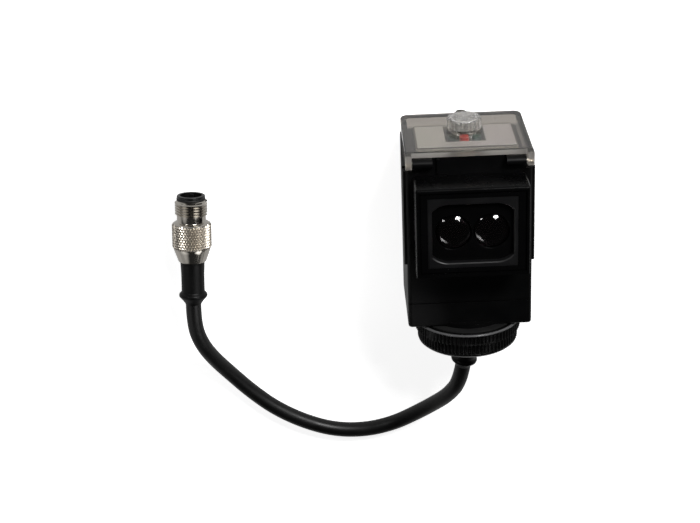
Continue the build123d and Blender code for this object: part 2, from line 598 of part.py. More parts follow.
# ---------------------------------------------------------------- write the nodes
NODES = {
    "housing": housing,
    "base_cap": base_cap,
    "base_seal": base_seal,
    "base_screws": base_screws,
    "base_gasket": base_gasket,
    "lock_ring": lock_ring,
    "mounting_nut": mounting_nut,
    "lens_head": lens_head,
    "head_gasket": head_gasket,
    "window_frame": window_frame,
    "lens_holder": lens_holder,
    "emitter_lens": lambda: lens(-LENS_PITCH / 2),
    "receiver_lens": lambda: lens(LENS_PITCH / 2),
    "optics_board": optics_board,
    "emitter_led": lambda: light_part(-LENS_PITCH / 2, 2.5, 3.6, 1.6),
    "receiver_diode": lambda: light_part(LENS_PITCH / 2, 2.6, 2.2, 0.3),
    "main_board": main_board,
    "board_parts": board_parts,
    "control_deck": control_deck,
    "deck_gasket": deck_gasket,
    "label_plate": label_plate,
    "control_board": control_board,
    "trimmer_bodies": trimmer_bodies,
    "mode_rotor": lambda: rotor(0, 0.6, 2.4),
    "sensitivity_rotor": lambda: rotor(1, 0.6, 2.4),
    "delay_rotor": lambda: rotor(2, 0.6, 2.4),
    "indicator_leds": indicator_leds,
    "cover_insert": cover_insert,
    "clear_cover": clear_cover,
    "indicator_dome": indicator_dome,
    "hinge_pins": hinge_pins,
    "cover_screw": cover_screw,
    "screw_clip": screw_clip,
    "strain_relief": strain_relief,
    "cable": cable,
    "coupling_screw": coupling_screw,
    "plug_insert": plug_insert,
    "contact_pins": contact_pins,
    "plug_o_ring": plug_o_ring,
    "plug_boot": plug_boot,
}

for name, make in NODES.items():
    made = make()
    save(Compound(children=list(made)) if isinstance(made, list) else made, name)
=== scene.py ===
from math import atan2, cos, pi, radians, sin

import bmesh
import bpy
from mathutils import Matrix, Vector


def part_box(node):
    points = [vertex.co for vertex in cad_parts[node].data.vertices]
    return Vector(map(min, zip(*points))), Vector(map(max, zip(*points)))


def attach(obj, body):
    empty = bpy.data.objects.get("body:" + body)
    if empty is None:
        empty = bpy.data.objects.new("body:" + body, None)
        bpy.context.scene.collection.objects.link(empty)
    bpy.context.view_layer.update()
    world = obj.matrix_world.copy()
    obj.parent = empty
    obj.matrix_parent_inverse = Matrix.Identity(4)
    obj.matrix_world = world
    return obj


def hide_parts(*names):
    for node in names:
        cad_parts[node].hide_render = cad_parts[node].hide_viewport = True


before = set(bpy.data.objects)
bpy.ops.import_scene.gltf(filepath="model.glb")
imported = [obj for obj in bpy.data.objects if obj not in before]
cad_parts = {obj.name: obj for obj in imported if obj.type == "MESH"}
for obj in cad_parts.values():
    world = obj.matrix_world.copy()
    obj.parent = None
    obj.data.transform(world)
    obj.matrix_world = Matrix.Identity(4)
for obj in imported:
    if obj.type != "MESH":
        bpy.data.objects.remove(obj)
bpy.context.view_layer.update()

# ---------------------------------------------------------------- view
# The sensor lies on its back and is seen from above its clear cover. The camera stands 606 mm from a
# point beside the body, so that the body is on the right and the plug on the left.
MM = 0.001
BODY_TOP = 61.8 * MM                                    # housing's top face above the body's bottom face
foot_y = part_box("deck_gasket")[0][1] - BODY_TOP         # Y of the body's bottom face
TILT, SWING, ROLL = radians(24.16), radians(0.38), radians(-2.20)
DISTANCE = 606.4 * MM
FOCAL, SENSOR = 86.925, 36.0
NEAR, FAR = 0.01, 20.0
aim = Vector((-42.22 * MM, foot_y + 23.12 * MM, 29.0 * MM))
ahead = Vector((sin(SWING) * cos(TILT), -sin(TILT), -cos(SWING) * cos(TILT)))
level = Vector((cos(SWING), 0, sin(SWING)))
upward = level.cross(ahead)
right = level * cos(ROLL) + upward * sin(ROLL)
top = upward * cos(ROLL) - level * sin(ROLL)

camera = bpy.data.objects.new("camera", bpy.data.cameras.new("camera"))
camera.data.lens, camera.data.sensor_width = FOCAL, SENSOR
camera.data.clip_start, camera.data.clip_end = NEAR, FAR
camera.matrix_world = (Matrix.Translation(aim - ahead * DISTANCE)
                       @ Matrix((right, top, -ahead)).transposed().to_4x4())
bpy.context.scene.collection.objects.link(camera)
bpy.context.scene.camera = camera


# ---------------------------------------------------------------- stage
# White paper on a table in a dim room, so that the black plastic stays black while gloss and clear parts
# still mirror the paper. Two soft boxes stand beyond the cover's end, a long low one lights the lenses, and
# two small ones the plug.
def add_node(tree, kind, inputs=(), **settings):
    """A node with its settings made and its inputs set to values or linked from sockets."""
    made = tree.nodes.new(kind)
    for name, value in settings.items():
        setattr(made, name, value)
    for key, value in dict(inputs).items():
        if isinstance(value, bpy.types.NodeSocket):
            tree.links.new(value, made.inputs[key])
        else:
            made.inputs[key].default_value = value
    return made


def add_object(name, data):
    """An object of the given data, linked into the scene."""
    made = bpy.data.objects.new(name, data)
    bpy.context.scene.collection.objects.link(made)
    return made


def soft_box(name, target, way, distance, size, power, beam=180.0, wide=1.0):
    """Area lamp at a distance in a given way from its target, its beam in degrees, wider than high."""
    lamp = bpy.data.lights.new(name, "AREA")
    lamp.shape, lamp.size, lamp.size_y = "RECTANGLE", size * wide, size
    lamp.energy, lamp.spread = power, radians(beam)
    made = add_object(name, lamp)
    made.visible_camera = False
    place = target + Vector(way).normalized() * distance
    facing = (target - place).to_track_quat("-Z", "Y")
    made.matrix_world = Matrix.Translation(place) @ facing.to_matrix().to_4x4()


FLOOR_SIZE = 8.0
FLOOR_SINK = 0.2 * MM       # keeps the paper just under the sensor's back face
PAPER_GREY = 0.8
SHADE_LIGHT = 0.86          # white paper's level in full shadow, as the camera sees it
MIRRORED_LIGHT = 0.50       # its level in gloss, metal and clear plastic
WHITE = (1, 1, 1, 1)
paper = bpy.data.materials.new("table_paper")
paper.use_nodes = True
tree = paper.node_tree
tree.nodes.clear()
rays = add_node(tree, "ShaderNodeLightPath")
matt = add_node(tree, "ShaderNodeBsdfDiffuse", {"Color": (PAPER_GREY, PAPER_GREY, PAPER_GREY, 1)})
glow = add_node(tree, "ShaderNodeEmission", {"Color": WHITE, "Strength": SHADE_LIGHT})
seen = add_node(tree, "ShaderNodeAddShader", {0: matt.outputs[0], 1: glow.outputs[0]})
white = add_node(tree, "ShaderNodeEmission", {"Color": WHITE, "Strength": MIRRORED_LIGHT})
mirrored = add_node(tree, "ShaderNodeMath", {
    0: rays.outputs["Is Glossy Ray"], 1: rays.outputs["Is Transmission Ray"]}, operation="MAXIMUM")
by_gloss = add_node(tree, "ShaderNodeMixShader",
                    {0: mirrored.outputs[0], 1: matt.outputs[0], 2: white.outputs[0]})
by_camera = add_node(tree, "ShaderNodeMixShader",
                     {0: rays.outputs["Is Camera Ray"], 1: by_gloss.outputs[0], 2: seen.outputs[0]})
add_node(tree, "ShaderNodeOutputMaterial", {"Surface": by_camera.outputs[0]})

half = FLOOR_SIZE / 2
sheet = bpy.data.meshes.new("table")
corners = [(-half, -half, 0), (half, -half, 0), (half, half, 0), (-half, half, 0)]
sheet.from_pydata(corners, [], [(0, 1, 2, 3)])
sheet.materials.append(paper)
table = add_object("table", sheet)
table.location.z = -FLOOR_SINK

ROOM_LEVEL = 0.025
SWEEP_LEVEL = 0.36          # the paper's raised far edge, as gloss mirrors it
SWEEP_FULL, SWEEP_END = 0.14, 0.26      # heights, of 1 straight up, between which the sweep fades out
room = bpy.data.worlds.new("room")
bpy.context.scene.world = room
room.use_nodes = True
tree = room.node_tree
tree.nodes.clear()
rays = add_node(tree, "ShaderNodeLightPath")
way_out = add_node(tree, "ShaderNodeTexCoord").outputs["Generated"]
height = add_node(tree, "ShaderNodeSeparateXYZ", {0: way_out})
low_band = add_node(tree, "ShaderNodeMapRange", {
    "Value": height.outputs[2], "From Min": SWEEP_FULL, "From Max": SWEEP_END,
    "To Min": SWEEP_LEVEL, "To Max": ROOM_LEVEL})
glossy = add_node(tree, "ShaderNodeMix", {
    0: rays.outputs["Is Glossy Ray"], 2: ROOM_LEVEL, 3: low_band.outputs[0]}, data_type="FLOAT")
dim = add_node(tree, "ShaderNodeBackground", {"Color": WHITE, "Strength": glossy.outputs[0]})
plain = add_node(tree, "ShaderNodeBackground", {"Color": WHITE, "Strength": 1.0})
shown = add_node(tree, "ShaderNodeMixShader",
                 {0: rays.outputs["Is Camera Ray"], 1: dim.outputs[0], 2: plain.outputs[0]})
add_node(tree, "ShaderNodeOutputWorld", {"Surface": shown.outputs[0]})

sensor_middle = Vector((0, 0, 27 * MM))
soft_box("key_box", sensor_middle, (0.36, 0.67, 0.65), distance=0.9, size=0.26, power=7.0)
soft_box("fill_box", sensor_middle, (-0.61, 0.51, 0.61), distance=0.9, size=0.14, power=0.7)
lens_middle = Vector((0, 18 * MM, 52 * MM))
soft_box("low_box", lens_middle, (-0.56, -0.75, 0.36), distance=0.12, size=0.022, power=0.0017,
         beam=44.0, wide=3.2)
plug_middle = Vector((-101 * MM, 0, 10 * MM))
soft_box("plug_left_box", plug_middle, (-0.70, -0.43, 0.57), distance=0.09, size=0.10, power=0.0034, beam=60.0)
soft_box("plug_right_box", plug_middle, (0.62, -0.41, 0.67), distance=0.10, size=0.060, power=0.0060, beam=90.0)


# ---------------------------------------------------------------- lead
# Round black jacketed lead, moulded at both ends. It leaves the threaded base through its relief, comes
# down to the table, and turns back up to the plug in one wide bow.
SLOW_SCALE = 90.0           # patches of gloss and tone about a centimetre across
SLOW_LOW, SLOW_HIGH = 0.35, 0.65
GRAIN_HEIGHT = 0.2 * MM     # at a depth of 1


def grain_group():
    """Shader group: fine moulded grain, and slow patches for the gloss and the tone over a piece."""
    group = bpy.data.node_groups.new("moulded_grain", "ShaderNodeTree")
    for name, value in (("Scale", 900.0), ("Depth", 0.1), ("Smooth", 0.3), ("Rough", 0.45)):
        socket = group.interface.new_socket(name, in_out="INPUT", socket_type="NodeSocketFloat")
        socket.default_value = value
    group.interface.new_socket("Roughness", in_out="OUTPUT", socket_type="NodeSocketFloat")
    group.interface.new_socket("Normal", in_out="OUTPUT", socket_type="NodeSocketVector")
    group.interface.new_socket("Patch", in_out="OUTPUT", socket_type="NodeSocketFloat")
    given = add_node(group, "NodeGroupInput")
    place = add_node(group, "ShaderNodeTexCoord").outputs["Object"]
    fine = add_node(group, "ShaderNodeTexNoise", {
        "Vector": place, "Scale": given.outputs["Scale"], "Detail": 3.0})
    slow = add_node(group, "ShaderNodeTexNoise", {
        "Vector": place, "Scale": SLOW_SCALE, "Detail": 4.0, "Roughness": 0.6})
    gloss = add_node(group, "ShaderNodeMapRange", {
        "Value": slow.outputs["Fac"], "From Min": SLOW_LOW, "From Max": SLOW_HIGH,
        "To Min": given.outputs["Smooth"], "To Max": given.outputs["Rough"]})
    bump = add_node(group, "ShaderNodeBump", {
        "Height": fine.outputs["Fac"], "Strength": given.outputs["Depth"], "Distance": GRAIN_HEIGHT})
    add_node(group, "NodeGroupOutput", {
        "Roughness": gloss.outputs["Result"], "Normal": bump.outputs["Normal"], "Patch": slow.outputs["Fac"]})
    return group


GRAIN = grain_group()


def moulded(name, dark, light, smooth, rough, scale, depth, **sockets):
    """Plastic, rubber or metal whose colour drifts between two tones, with a fine grain."""
    material = bpy.data.materials.new(name)
    material.use_nodes = True
    tree = material.node_tree
    shader = tree.nodes["Principled BSDF"]
    grain = add_node(tree, "ShaderNodeGroup", node_tree=GRAIN)
    for key, value in (("Scale", scale), ("Depth", depth), ("Smooth", smooth), ("Rough", rough)):
        grain.inputs[key].default_value = value
    tone = add_node(tree, "ShaderNodeMix",
                    {0: grain.outputs["Patch"], 6: (*dark, 1), 7: (*light, 1)}, data_type="RGBA")
    tree.links.new(tone.outputs[2], shader.inputs["Base Color"])
    tree.links.new(grain.outputs["Roughness"], shader.inputs["Roughness"])
    tree.links.new(grain.outputs["Normal"], shader.inputs["Normal"])
    for key, value in sockets.items():
        shader.inputs[key.replace("_", " ")].default_value = value
    return material


JACKET_RADIUS = 2.9 * MM
LEAD_ROUTE = [
    (-1.48, -47.02, 22.87), (-2.54, -55.18, 21.16), (-6.6, -63.1, 16.9), (-12.3, -70.0, 11.3),
    (-19.2, -76.4, 6.7), (-27.6, -82.1, 3.7), (-38.4, -84.9, 2.9), (-50.4, -84.3, 2.9), (-62.0, -80.2, 2.9),
    (-73.2, -73.7, 2.9), (-82.4, -65.5, 2.9), (-89.7, -56.6, 4.5), (-95.0, -48.6, 7.9),
    (-99.0, -40.4, 11.5), (-101.44, -31.51, 12.53), (-101.1, -23.1, 11.37),
]
jacket_black = moulded("jacket_black", (0.0022, 0.0022, 0.0022), (0.0045, 0.0045, 0.0045),
                       smooth=0.34, rough=0.50, scale=1400.0, depth=0.12, Specular_IOR_Level=0.35)
line = bpy.data.curves.new("lead", "CURVE")
line.dimensions = "3D"
line.resolution_u, line.bevel_resolution, line.bevel_depth = 16, 10, JACKET_RADIUS
line.use_fill_caps = True
spline = line.splines.new("NURBS")
spline.points.add(len(LEAD_ROUTE) - 1)
for point, place in zip(spline.points, LEAD_ROUTE):
    point.co = (*(value * MM for value in place), 1)
spline.order_u = 3
spline.use_endpoint_u = True
line.materials.append(jacket_black)
lead = add_object("lead", line)
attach(lead, "sensor_body")
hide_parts("cable")


# ---------------------------------------------------------------- housing
# The black box of the body: one thick moulding in glass-filled plastic with side pads that grow proud to
# the front, two hinge knuckles and a parapet in front of the deck. Its edges are slightly rounded.
def keep(name, form, material, body, nodes=(), rounding=0.0, angle=32.0):
    """Piece from a closed form: rounded edges, even shading, its finish, and the body it rides on."""
    for face in form.faces:
        face.material_index = 0
    mesh = bpy.data.meshes.new(name)
    form.to_mesh(mesh)
    form.free()
    mesh.materials.append(material)
    mesh.shade_smooth()
    mesh.set_sharp_from_angle(angle=radians(angle))
    piece = add_object(name, mesh)
    if rounding:
        bevel = piece.modifiers.new("rounding", "BEVEL")
        bevel.limit_method, bevel.angle_limit = "ANGLE", radians(angle)
        bevel.width, bevel.segments, bevel.use_clamp_overlap = rounding, 2, True
        bevel.mark_sharp = False
    even = piece.modifiers.new("even_shading", "WEIGHTED_NORMAL")
    even.weight, even.keep_sharp = 100, not rounding
    bpy.context.view_layer.update()
    made = bpy.data.meshes.new_from_object(piece.evaluated_get(bpy.context.evaluated_depsgraph_get()))
    piece.modifiers.clear()
    piece.data = made
    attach(piece, body)
    if nodes:
        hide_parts(*nodes)


def whole_faces(node):
    """Copy of a node's mesh with its triangles joined into whole faces."""
    form = bmesh.new()
    form.from_mesh(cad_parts[node].data)
    bmesh.ops.remove_doubles(form, verts=form.verts, dist=0.002 * MM)
    bmesh.ops.dissolve_limit(form, angle_limit=radians(0.6), verts=form.verts, edges=form.edges)
    return form


body_black = moulded("body_black", (0.0010, 0.0010, 0.0011), (0.0022, 0.0022, 0.0024),
                     smooth=0.38, rough=0.48, scale=1100.0, depth=0.05, Specular_IOR_Level=0.16)
keep("housing_moulding", whole_faces("housing"), body_black, "sensor_body", ["housing"],
     rounding=0.25 * MM)


# ---------------------------------------------------------------- base cap
# The body's bottom and the hollow M30 x 1.5 hub under it are one black moulding, held on by four screws.
# The hub's core is cut back to the thread's root, and the thread runs round it as it comes from the mould.
def turned(section, around=128):
    """Closed form turned about Z from the (radius, height) corners of its section."""
    form = bmesh.new()
    rings = []
    for radius, height in section:
        if radius < 1e-7:
            rings.append([form.verts.new((0, 0, height))] * around)
        else:
            turns = [2 * pi * i / around for i in range(around)]
            rings.append([form.verts.new((radius * cos(turn), radius * sin(turn), height)) for turn in turns])
    for low, high in zip(rings, rings[1:] + rings[:1]):
        for i in range(around):
            j = (i + 1) % around
            face = list(dict.fromkeys((low[i], low[j], high[j], high[i])))
            if len(face) > 2:
                form.faces.new(face)
    bmesh.ops.recalc_face_normals(form, faces=form.faces)
    return form


def axis_frame(origin, x_axis, z_axis):
    """Matrix of a piece's own axes, its local Z along z_axis."""
    return Matrix.Translation(origin) @ Matrix((x_axis, z_axis.cross(x_axis), z_axis)).transposed().to_4x4()


def grown(tree, place, **values):
    """Form that a geometry tree makes with its named inputs set, put in place."""
    holder = add_object(tree.name, bpy.data.meshes.new(tree.name))
    modifier = holder.modifiers.new("grown", "NODES")
    modifier.node_group = tree
    for item in tree.interface.items_tree:
        if item.in_out == "INPUT":
            modifier[item.identifier] = values[item.name.replace(" ", "_").lower()]
    bpy.context.view_layer.update()
    mesh = bpy.data.meshes.new_from_object(holder.evaluated_get(bpy.context.evaluated_depsgraph_get()))
    bpy.data.objects.remove(holder)
    form = bmesh.new()
    form.from_mesh(mesh)
    form.transform(place)
    return form


def together(first, *others):
    """One form from several."""
    for other in others:
        mesh = bpy.data.meshes.new("joined")
        other.to_mesh(mesh)
        other.free()
        first.from_mesh(mesh)
    return first


def new_tree(name, *inputs):
    """Geometry tree with named inputs and one geometry output."""
    tree = bpy.data.node_groups.new(name, "GeometryNodeTree")
    for title, kind in inputs:
        tree.interface.new_socket(title, in_out="INPUT", socket_type="NodeSocket" + kind)
    tree.interface.new_socket("Geometry", in_out="OUTPUT", socket_type="NodeSocketGeometry")
    return tree, add_node(tree, "NodeGroupInput").outputs


def reckon(tree, operation, first, second=0.0):
    """One step of arithmetic in a geometry tree."""
    return add_node(tree, "ShaderNodeMath", {0: first, 1: second}, operation=operation).outputs[0]


def close_tree(tree, geometry, finish):
    """Ends a tree: instances made real, then the finish set."""
    real = add_node(tree, "GeometryNodeRealizeInstances", {"Geometry": geometry})
    done = add_node(tree, "GeometryNodeSetMaterial", {"Geometry": real.outputs[0], "Material": finish})
    add_node(tree, "NodeGroupOutput", {"Geometry": done.outputs[0]})
    return tree


THREAD_FOOT, THREAD_CREST = 0.92, 0.16                  # widths of a thread's section, of its pitch
THREAD_STEPS = 72                                       # to a turn


def thread_tree():
    """Screw thread: a trapezoid carried round a helix, with closed ends, its foot on the core."""
    tree, given = new_tree("screw_thread", ("Crest Radius", "Float"), ("Depth", "Float"), ("Pitch", "Float"),
                           ("Turns", "Float"), ("Finish", "Material"))
    middle = reckon(tree, "SUBTRACT", given["Crest Radius"], reckon(tree, "MULTIPLY", given["Depth"], 0.5))
    helix = add_node(tree, "GeometryNodeCurveSpiral", {
        "Resolution": THREAD_STEPS, "Rotations": given["Turns"], "Start Radius": middle, "End Radius": middle,
        "Height": reckon(tree, "MULTIPLY", given["Pitch"], given["Turns"])})
    upright = add_node(tree, "GeometryNodeSetCurveNormal", {"Curve": helix.outputs[0]}, mode="Z_UP")
    section = add_node(tree, "GeometryNodeCurvePrimitiveQuadrilateral", {
        "Height": given["Depth"], "Bottom Width": reckon(tree, "MULTIPLY", given["Pitch"], THREAD_FOOT),
        "Top Width": reckon(tree, "MULTIPLY", given["Pitch"], THREAD_CREST), "Offset": 0.0}, mode="TRAPEZOID")
    outward = add_node(tree, "GeometryNodeTransform", {
        "Geometry": section.outputs[0], "Rotation": (0, 0, pi / 2)})
    ridge = add_node(tree, "GeometryNodeCurveToMesh", {
        "Curve": upright.outputs[0], "Profile Curve": outward.outputs[0], "Fill Caps": True})
    return close_tree(tree, ridge.outputs[0], given["Finish"])


HUB_Z = 25.5 * MM                                       # the hub's axis above the table
HUB_RADIUS, M30_PITCH, M30_DEPTH = 15.0 * MM, 1.5 * MM, 0.92 * MM
HUB_THREAD_START, HUB_THREAD_TURNS = 1.5 * MM, 5.4
NEARLY = 0.1 * MM                                       # what counts as on the hub's own face
hub_place = axis_frame(Vector((0, foot_y, HUB_Z)), Vector((1, 0, 0)), Vector((0, -1, 0)))
cap = whole_faces("base_cap")
for vert in cap.verts:
    off = Vector((vert.co.x, vert.co.z - HUB_Z))
    if vert.co.y < foot_y + NEARLY and abs(off.length - HUB_RADIUS) < NEARLY:
        off *= (HUB_RADIUS - M30_DEPTH) / off.length
        vert.co.x, vert.co.z = off.x, HUB_Z + off.y
keep("cap_moulding", cap, body_black, "sensor_body", ["base_cap"], rounding=0.25 * MM)
THREAD = thread_tree()
hub_thread = grown(THREAD, hub_place @ Matrix.Translation((0, 0, HUB_THREAD_START)), crest_radius=HUB_RADIUS,
                   depth=M30_DEPTH, pitch=M30_PITCH, turns=HUB_THREAD_TURNS, finish=body_black)
keep("hub_thread", hub_thread, body_black, "sensor_body")


# ---------------------------------------------------------------- seals and base screws
# Flat black rubber seals lie in the seams and round the hub's root. Four zinc-plated screws hold the cap
# from below, sunk in their wells. The cover's hinge pins and its screw's clip are plated steel as well.
def carried(material, *nodes):
    """Gives nodes that keep their shape their finish."""
    for node in nodes:
        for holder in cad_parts[node].material_slots:
            holder.material = material


seal_black = moulded("seal_black", (0.0045, 0.0045, 0.0045), (0.008, 0.008, 0.008),
                     smooth=0.55, rough=0.75, scale=1500.0, depth=0.2)
carried(seal_black, "base_seal", "base_gasket", "head_gasket", "deck_gasket")
zinc_steel = moulded("zinc_steel", (0.50, 0.50, 0.48), (0.66, 0.66, 0.63),
                     smooth=0.26, rough=0.42, scale=600.0, depth=0.05, Metallic=1.0)
carried(zinc_steel, "base_screws", "hinge_pins", "screw_clip")


# ---------------------------------------------------------------- ring and nut
# Two black glass-filled mouldings on the hub's thread, ribbed all round for the fingers: a wide ring, its
# smooth eased collar painted grey along the edge as a painted highlight, and a narrower nut with a smooth foot
# below its ribs.
def band_tree():
    """Ribbed band: a ring with rounded ribs all round it and a round bore, standing on Z = 0."""
    tree, given = new_tree("ribbed_band", ("Ribs", "Int"), ("Root Radius", "Float"), ("Tip Radius", "Float"),
                           ("Bore Radius", "Float"), ("Height", "Float"), ("Rounding", "Float"),
                           ("Finish", "Material"))
    star = add_node(tree, "GeometryNodeCurveStar", {
        "Points": given["Ribs"], "Inner Radius": given["Root Radius"], "Outer Radius": given["Tip Radius"]})
    eased = add_node(tree, "GeometryNodeFilletCurve", {
        "Curve": star.outputs[0], "Count": 3, "Radius": given["Rounding"], "Limit Radius": True}, mode="POLY")
    bore = add_node(tree, "GeometryNodeCurvePrimitiveCircle", {
        "Resolution": 96, "Radius": given["Bore Radius"]})
    outline = add_node(tree, "GeometryNodeJoinGeometry")
    for curve in (eased.outputs[0], bore.outputs[0]):
        tree.links.new(curve, outline.inputs[0])
    under = add_node(tree, "GeometryNodeFillCurve", {"Curve": outline.outputs[0]}, mode="NGONS")
    raised = add_node(tree, "GeometryNodeExtrudeMesh", {
        "Mesh": under.outputs[0], "Offset": (0, 0, 1), "Offset Scale": given["Height"], "Individual": False},
        mode="FACES")
    turned_over = add_node(tree, "GeometryNodeFlipFaces", {"Mesh": under.outputs[0]})
    whole = add_node(tree, "GeometryNodeJoinGeometry")
    for part in (raised.outputs[0], turned_over.outputs[0]):
        tree.links.new(part, whole.inputs[0])
    joined = add_node(tree, "GeometryNodeMergeByDistance", {
        "Geometry": whole.outputs[0], "Distance": 0.001 * MM})
    return close_tree(tree, joined.outputs[0], given["Finish"])


RING_RADIUS, RING_BORE = 19.3 * MM, 15.1 * MM
RIM_HIGHLIGHT_START, RIM_HIGHLIGHT_FULL = RING_RADIUS - 0.6 * MM, RING_RADIUS - 0.35 * MM
RIM_HIGHLIGHT_BELOW = 1.3 * MM                                    # the painted highlight's lower limit under the body
# painted highlight: the grey that stands in for the glint on the ring's rounded upper edge
RIM_HIGHLIGHT_GREY = (0.11, 0.11, 0.112, 1)


def paint_rim_highlight(material):
    """Painted highlight: lightens the ring's upper edge, where light would glint on its rounded edge."""
    tree = material.node_tree
    shader = tree.nodes["Principled BSDF"]
    place = add_node(tree, "ShaderNodeTexCoord").outputs["Object"]
    off = add_node(tree, "ShaderNodeVectorMath", {0: place, 1: (0, foot_y, HUB_Z)},
                   operation="SUBTRACT").outputs[0]
    across = add_node(tree, "ShaderNodeVectorMath", {0: off, 1: (1, 0, 1)}, operation="MULTIPLY").outputs[0]
    radius = add_node(tree, "ShaderNodeVectorMath", {0: across}, operation="LENGTH").outputs["Value"]
    below = add_node(tree, "ShaderNodeSeparateXYZ", {0: off}).outputs[1]
    outer = add_node(tree, "ShaderNodeMapRange", {
        "Value": radius, "From Min": RIM_HIGHLIGHT_START, "From Max": RIM_HIGHLIGHT_FULL}).outputs[0]
    upper = add_node(tree, "ShaderNodeMath", {0: below, 1: -RIM_HIGHLIGHT_BELOW}, operation="GREATER_THAN").outputs[0]
    share = add_node(tree, "ShaderNodeMath", {0: outer, 1: upper}, operation="MULTIPLY").outputs[0]
    tone = shader.inputs["Base Color"].links[0].from_socket
    glint_tone = add_node(tree, "ShaderNodeMix", {0: share, 6: tone, 7: RIM_HIGHLIGHT_GREY}, data_type="RGBA")
    tree.links.new(glint_tone.outputs[2], shader.inputs["Base Color"])


ring_black = moulded("ring_black", (0.0014, 0.0014, 0.0014), (0.0030, 0.0030, 0.0030),
                     smooth=0.20, rough=0.30, scale=1100.0, depth=0.06, Specular_IOR_Level=0.32)
# the ring's upper edge gets a painted highlight
paint_rim_highlight(ring_black)
BAND = band_tree()
RIBS, RIB_ROUND, RIB_TIP = 80, 0.2 * MM, 0.08 * MM      # tips stand a hair proud of the plain radius

# Heights here run down the hub from the body's bottom face.
COLLAR_TOP, COLLAR_FOOT, COLLAR_EASE, EASE_STEPS = 0.7 * MM, 1.5 * MM, 0.6 * MM, 8
RING_RIBS_TOP, RING_RIBS_HIGH, RING_RIBS_DEEP = 1.4 * MM, 3.6 * MM, 0.85 * MM
ease_turns = [pi / 2 * i / EASE_STEPS for i in range(1, EASE_STEPS + 1)]
collar = turned([(RING_BORE, COLLAR_TOP), (RING_RADIUS - COLLAR_EASE, COLLAR_TOP)]
                + [(RING_RADIUS - COLLAR_EASE * (1 - sin(turn)), COLLAR_TOP + COLLAR_EASE * (1 - cos(turn)))
                   for turn in ease_turns] + [(RING_RADIUS, COLLAR_FOOT), (RING_BORE, COLLAR_FOOT)])
collar.transform(hub_place)
ring_grip = grown(BAND, hub_place @ Matrix.Translation((0, 0, RING_RIBS_TOP)), ribs=RIBS,
                  root_radius=RING_RADIUS - RING_RIBS_DEEP, tip_radius=RING_RADIUS + RIB_TIP,
                  bore_radius=RING_BORE, height=RING_RIBS_HIGH, rounding=RIB_ROUND, finish=ring_black)
keep("ring_moulding", together(collar, ring_grip), ring_black, "ring", ["lock_ring"],
     rounding=0.14 * MM)

NUT_RADIUS, NUT_BORE = 18.3 * MM, 15.08 * MM
NUT_RIBS_TOP, NUT_RIBS_HIGH, NUT_RIBS_DEEP = 5.1 * MM, 4.0 * MM, 0.75 * MM
NUT_FOOT, NUT_CHAMFER, NUT_END = 9.0 * MM, 9.7 * MM, 10.5 * MM
NUT_FOOT_RADIUS, NUT_END_RADIUS = 18.0 * MM, 17.1 * MM
nut_foot = turned([(NUT_BORE, NUT_FOOT), (NUT_FOOT_RADIUS, NUT_FOOT), (NUT_FOOT_RADIUS, NUT_CHAMFER),
                   (NUT_END_RADIUS, NUT_END), (NUT_BORE, NUT_END)])
nut_foot.transform(hub_place)
nut_grip = grown(BAND, hub_place @ Matrix.Translation((0, 0, NUT_RIBS_TOP)), ribs=RIBS,
                 root_radius=NUT_RADIUS - NUT_RIBS_DEEP, tip_radius=NUT_RADIUS + RIB_TIP,
                 bore_radius=NUT_BORE, height=NUT_RIBS_HIGH, rounding=RIB_ROUND, finish=ring_black)
keep("nut_moulding", together(nut_foot, nut_grip), ring_black, "nut", ["mounting_nut"],
     rounding=0.12 * MM)


# ---------------------------------------------------------------- lens head
# Deep rectangular bezel of the same black plastic, a little smoother, with a bowed hood and a thin groove
# round its face. It stands on a thin gasket in front of the housing.
bezel_black = moulded("bezel_black", (0.0012, 0.0012, 0.0013), (0.0026, 0.0026, 0.0028),
                      smooth=0.22, rough=0.32, scale=1300.0, depth=0.04, Specular_IOR_Level=0.09)
keep("head_moulding", whole_faces("lens_head"), bezel_black, "sensor_body", ["lens_head"],
     rounding=0.20 * MM)


# ---------------------------------------------------------------- window frame and lens holder
# A matt dark grey frame with a cut-cornered opening sits in the bezel. Behind it a black block holds the
# two lenses, each over its own tapering light barrel.
frame_black = moulded("frame_black", (0.0030, 0.0030, 0.0033), (0.0055, 0.0055, 0.0060),
                      smooth=0.40, rough=0.54, scale=1600.0, depth=0.15, Specular_IOR_Level=0.40)
keep("frame_moulding", whole_faces("window_frame"), frame_black, "sensor_body", ["window_frame"],
     rounding=0.12 * MM)
keep("holder_moulding", whole_faces("lens_holder"), bezel_black, "sensor_body",
     ["lens_holder"], rounding=0.10 * MM)


# ---------------------------------------------------------------- lenses
# Two plano-convex acrylic lenses, moulded and polished, dark because they pass only red and infrared
# light. They are pressed into the holder's seats.
LENS_RADIUS, LENS_SAG, LENS_RIM, LENS_SEAT = 6.25 * MM, 2.3 * MM, 1.8 * MM, 48.5 * MM
LENS_STEPS = 28
LENS_PITCH, OPTICS_HEIGHT = 13.1 * MM, 42.2 * MM
lens_acrylic = moulded("lens_acrylic", (0.42, 0.30, 0.33), (0.50, 0.36, 0.40),
                       smooth=0.05, rough=0.09, scale=200.0, depth=0.0, Transmission_Weight=1.0, IOR=1.49)


def lens():
    """Lens: a flat back, a short rim and a ball face, turned."""
    ball = (LENS_RADIUS ** 2 + LENS_SAG ** 2) / (2 * LENS_SAG)
    middle = LENS_SEAT + LENS_RIM + LENS_SAG - ball
    crown = [LENS_RADIUS * (1 - i / LENS_STEPS) for i in range(LENS_STEPS + 1)]
    face = [(radius, middle + (ball ** 2 - radius ** 2) ** 0.5) for radius in crown]
    return turned([(0, LENS_SEAT), (LENS_RADIUS, LENS_SEAT)] + face)


for side, node in ((-1, "emitter_lens"), (1, "receiver_lens")):
    form = lens()
    form.transform(Matrix.Translation((side * LENS_PITCH / 2, foot_y + OPTICS_HEIGHT, 0)))
    keep(node + "_glass", form, lens_acrylic, "sensor_body", [node])


